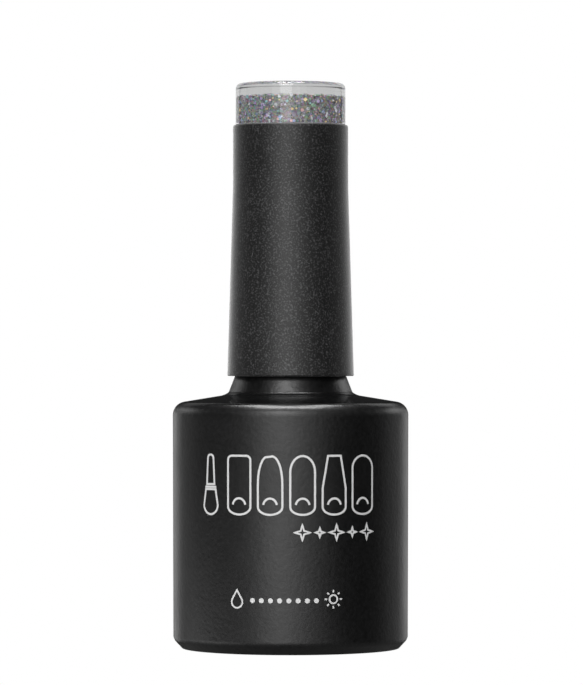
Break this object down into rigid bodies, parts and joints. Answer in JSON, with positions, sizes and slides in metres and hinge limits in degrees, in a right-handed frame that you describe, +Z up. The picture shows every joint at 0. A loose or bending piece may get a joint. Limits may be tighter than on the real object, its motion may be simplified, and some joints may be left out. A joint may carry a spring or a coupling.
{
  "type": "nail polish bottle",
  "caption": "Round black glass gel polish bottle with a tall screw cap that carries the brush, and a clear window at the top showing a glitter colour sample.",
  "frame": {"origin": "centre of the ring that the bottle stands on, at the surface it stands on", "axes": "+Z up along the axis of the bottle, cap and brush; the front print faces -Y"},
  "size_m": [0.0286, 0.0286, 0.0684],
  "materials": {
    "lacquered_glass": "satin",
    "soft_touch_black": "matte",
    "clear_acrylic": "polished",
    "glitter_gel": "gloss",
    "natural_plastic": "satin",
    "black_plastic": "gloss",
    "nylon_bristle": "satin",
    "stainless_steel": "polished",
    "foam": "matte",
    "seal_film": "satin",
    "label_paper": "matte"
  },
  "bodies": {
    "bottle": {"glass_bottle": "lacquered_glass", "base_label": "label_paper", "gel_polish": "glitter_gel"},
    "mixing_balls": {"mixing_ball_1": "stainless_steel", "mixing_ball_2": "stainless_steel"},
    "lip_seal": {"seal_washer": "seal_film"},
    "liner": {"liner_disc": "foam"},
    "cap": {"inner_cap": "natural_plastic", "brush_stem": "black_plastic", "brush_staple": "stainless_steel", "brush_tuft": "nylon_bristle", "cap_sleeve": "soft_touch_black", "colour_window": "clear_acrylic", "colour_sample": "glitter_gel"}
  },
  "joints": [
    {"name": "cap_lift", "type": "slide", "parent": "bottle", "child": "lip_seal", "axis": [0, 0, 1], "range_m": [0, 0.048]},
    {"name": "cap_rise", "type": "slide", "parent": "lip_seal", "child": "liner", "axis": [0, 0, 1], "range_m": [0, 0.00315]},
    {"name": "cap_turn", "type": "hinge", "parent": "liner", "child": "cap", "pos_m": [0, 0, 0.0386], "axis": [0, 0, 1], "range_deg": [0, 540]},
    {"name": "ball_roll", "type": "hinge", "parent": "bottle", "child": "mixing_balls", "pos_m": [0, 0, 0.00565], "axis": [0, 0, 1], "continuous": true}
  ],
  "couplings": [
    {"joint": "cap_rise", "follows": "cap_turn", "m_per_rad": 0.00033423}
  ]
}
